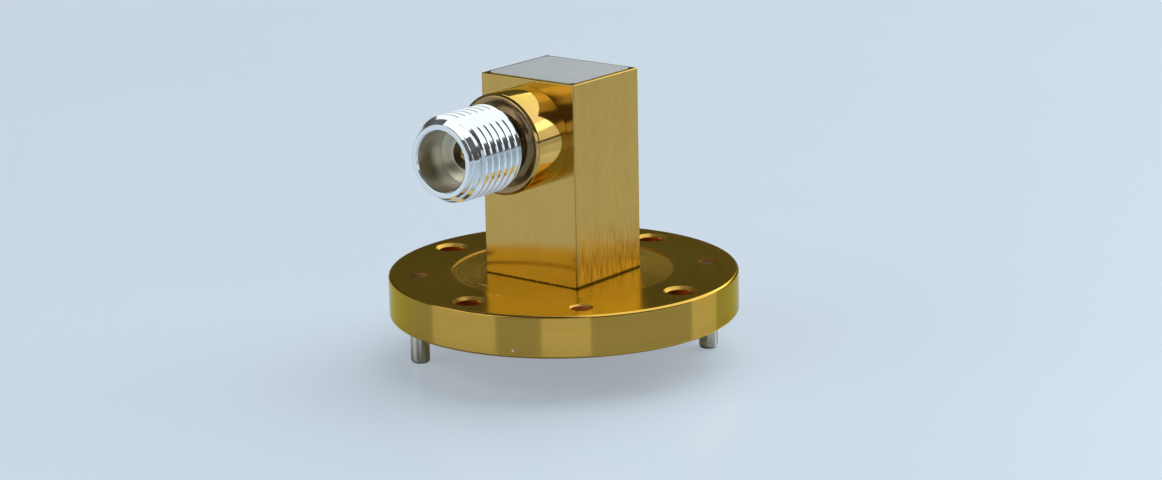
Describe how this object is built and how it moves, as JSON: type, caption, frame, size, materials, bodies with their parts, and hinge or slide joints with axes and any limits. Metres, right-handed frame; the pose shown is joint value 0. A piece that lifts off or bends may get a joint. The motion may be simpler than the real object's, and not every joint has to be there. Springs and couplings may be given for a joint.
{
  "type": "waveguide adapter",
  "caption": "Right-angle adapter: a round rectangular-waveguide flange with a square block and a threaded coaxial jack on its side.",
  "frame": {"origin": "centre of the flange's mating face, on the waveguide's axis", "axes": "+Z along the waveguide, away from the mating flange; the coaxial jack points along -Y; the guide's broad side lies along X"},
  "size_m": [0.0286, 0.0292, 0.0239],
  "materials": {
    "gold_flange": "gold plated, finely turned",
    "gold_block": "gold plated, polished and finely brushed",
    "gold_collar": "gold plated, polished",
    "cap_metal": "satin",
    "jack_steel": "bright passivated stainless steel",
    "sleeve_metal": "gold plated",
    "bead_plastic": "machined plastic",
    "contact_gold": "gold plated",
    "pin_steel": "ground"
  },
  "bodies": {
    "root": {"flange": "gold_flange", "waveguide_block": "gold_block", "end_cap": "cap_metal", "connector_collar": "gold_collar", "jack_shell": "jack_steel", "line_sleeve": "sleeve_metal", "support_bead": "bead_plastic", "centre_contact": "contact_gold", "feed_bead": "bead_plastic", "probe_pin": "contact_gold", "probe_tip": "contact_gold", "dowel_pin_left": "pin_steel", "dowel_pin_right": "pin_steel"}
  },
  "joints": []
}
